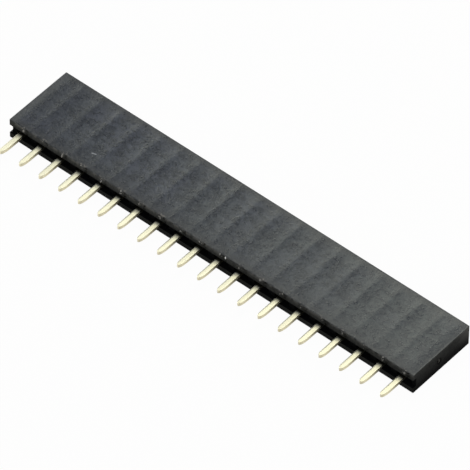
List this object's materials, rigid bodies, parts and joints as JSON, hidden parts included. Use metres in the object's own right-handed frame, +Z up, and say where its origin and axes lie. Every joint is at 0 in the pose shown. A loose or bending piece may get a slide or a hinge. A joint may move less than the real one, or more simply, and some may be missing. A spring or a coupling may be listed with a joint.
{
  "type": "pin socket strip",
  "caption": "Straight single-row female pin header: black moulded strip with square sockets on one side and gold-flashed flat solder tails on the other.",
  "frame": {"origin": "under the middle of the whole strip, tails included, on the surface that it lies on", "axes": "+X along the row, +Y the mating direction (tails point to -Y), +Z up, across the thickness of the strip"},
  "size_m": [0.0512, 0.0116, 0.0025],
  "materials": {
    "black_moulding": "matt black glass-filled nylon moulding with a fine grain",
    "gold_flash": "thin pale gold plating over stamped copper alloy sheet"
  },
  "bodies": {
    "root": {"housing": "black_moulding", "contact_01": "gold_flash", "contact_02": "gold_flash", "contact_03": "gold_flash", "contact_04": "gold_flash", "contact_05": "gold_flash", "contact_06": "gold_flash", "contact_07": "gold_flash", "contact_08": "gold_flash", "contact_09": "gold_flash", "contact_10": "gold_flash", "contact_11": "gold_flash", "contact_12": "gold_flash", "contact_13": "gold_flash", "contact_14": "gold_flash", "contact_15": "gold_flash", "contact_16": "gold_flash", "contact_17": "gold_flash", "contact_18": "gold_flash", "contact_19": "gold_flash", "contact_20": "gold_flash"}
  },
  "joints": []
}
